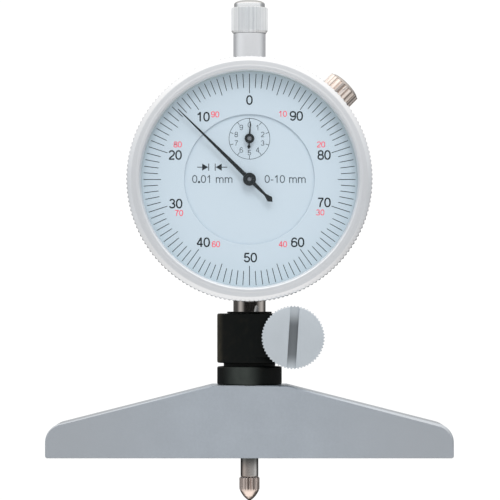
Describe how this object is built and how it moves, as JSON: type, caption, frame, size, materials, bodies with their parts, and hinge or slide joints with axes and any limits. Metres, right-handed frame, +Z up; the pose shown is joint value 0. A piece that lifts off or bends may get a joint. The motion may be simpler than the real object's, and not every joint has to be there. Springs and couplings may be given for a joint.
{
  "type": "dial depth gauge",
  "caption": "Dial depth gauge: a round dial indicator held by a split collar on a wide steel measuring base, with its spindle and contact point reaching below it.",
  "frame": {"origin": "tip of the contact point at rest, on the spindle's axis, 11 mm below the base's measuring face", "axes": "+Z up along the spindle, the dial faces -Y, +X to the reader's right along the base"},
  "size_m": [0.1, 0.025, 0.1239],
  "materials": {
    "ground_steel": "ground, satin",
    "black_oxide": "black oxide, satin",
    "satin_nickel": "satin nickel plate",
    "bright_nickel": "bright nickel plate",
    "satin_aluminium": "satin, turned",
    "polished_steel": "finely ground",
    "spindle_steel": "ground and polished",
    "brass": "machined",
    "spring_steel": "bright",
    "dial_paint": "matt pale blue-grey",
    "clear_glass": "clear crystal",
    "pointer_black": "satin black"
  },
  "bodies": {
    "base_frame": {"base": "ground_steel", "collar": "black_oxide", "collar_set_screw": "black_oxide"},
    "clamp_screw": {"clamp_screw": "satin_nickel"},
    "clamp_bush": {"clamp_bush": "black_oxide"},
    "indicator": {"stem": "polished_steel", "lower_guide": "brass", "case_body": "satin_aluminium", "back_cover": "satin_aluminium", "cover_screw_1": "bright_nickel", "cover_screw_2": "bright_nickel", "cover_screw_3": "bright_nickel", "cover_screw_4": "bright_nickel", "upper_sleeve": "satin_aluminium", "upper_guide": "brass", "top_cap": "satin_nickel", "front_plate": "brass", "plate_screw_1": "bright_nickel", "plate_screw_2": "bright_nickel", "rear_plate": "brass", "plate_pillar_1": "brass", "plate_pillar_2": "brass", "plate_pillar_3": "brass", "bridge": "brass", "bridge_pillar_1": "brass", "bridge_pillar_2": "brass", "bridge_pillar_3": "brass", "bridge_pillar_4": "brass", "hairspring": "spring_steel", "hairspring_stud": "brass", "return_spring": "spring_steel", "spring_post": "spring_steel", "dial_plate": "dial_paint", "bezel_wire": "spring_steel", "bezel_lock_shoe": "bright_nickel"},
    "bezel_group": {"bezel": "satin_aluminium", "crystal": "clear_glass", "dial_spacer": "satin_aluminium", "dial_ring": "dial_paint"},
    "bezel_lock": {"bezel_lock_screw": "bright_nickel"},
    "spindle_group": {"spindle": "spindle_steel", "contact_point": "spindle_steel", "guide_pin": "spindle_steel"},
    "rack_gear_group": {"rack_pinion": "spring_steel", "rack_gear": "brass"},
    "centre_group": {"centre_pinion": "spring_steel", "pointer": "pointer_black"},
    "counter_group": {"counter_arbor": "spring_steel", "counter_gear": "brass", "counter_pointer": "pointer_black"}
  },
  "joints": [
    {"name": "clamp_screw_turn", "type": "hinge", "parent": "base_frame", "child": "clamp_screw", "pos_m": [0.0106, -0.0081, 0.0406], "axis": [0, 1, 0], "range_deg": [-360, 0]},
    {"name": "indicator_swivel", "type": "hinge", "parent": "base_frame", "child": "clamp_bush", "pos_m": [0, 0, 0.0465], "axis": [0, 0, 1], "range_deg": [-180, 180]},
    {"name": "stem_slide", "type": "slide", "parent": "clamp_bush", "child": "indicator", "axis": [0, 0, 1], "range_m": [0, 0.008]},
    {"name": "bezel_turn", "type": "hinge", "parent": "indicator", "child": "bezel_group", "pos_m": [0, -0.0085, 0.0792], "axis": [0, 1, 0], "continuous": true},
    {"name": "bezel_lock_turn", "type": "hinge", "parent": "indicator", "child": "bezel_lock", "pos_m": [0.02192, 0.0015, 0.10112], "axis": [0.7071, 0, 0.7071], "range_deg": [0, 360]},
    {"name": "spindle_slide", "type": "slide", "parent": "indicator", "child": "spindle_group", "axis": [0, 0, 1], "range_m": [0, 0.011], "stiffness_N_per_m": 40, "springref_m": -0.015, "deforming": ["return_spring"]},
    {"name": "rack_gear_turn", "type": "hinge", "parent": "indicator", "child": "rack_gear_group", "pos_m": [-0.0035, -0.0054, 0.06983], "axis": [0, 1, 0], "range_deg": [-420, 20]},
    {"name": "pointer_turn", "type": "hinge", "parent": "indicator", "child": "centre_group", "pos_m": [0, -0.0094, 0.0792], "axis": [0, 1, 0], "range_deg": [-200, 4200]},
    {"name": "counter_turn", "type": "hinge", "parent": "indicator", "child": "counter_group", "pos_m": [0, -0.0094, 0.0892], "axis": [0, 1, 0], "range_deg": [-420, 20]}
  ],
  "couplings": [
    {"joint": "rack_gear_turn", "follows": "spindle_slide", "rad_per_m": -628.32},
    {"joint": "pointer_turn", "follows": "spindle_slide", "rad_per_m": 6283.2},
    {"joint": "counter_turn", "follows": "spindle_slide", "rad_per_m": -628.32}
  ]
}
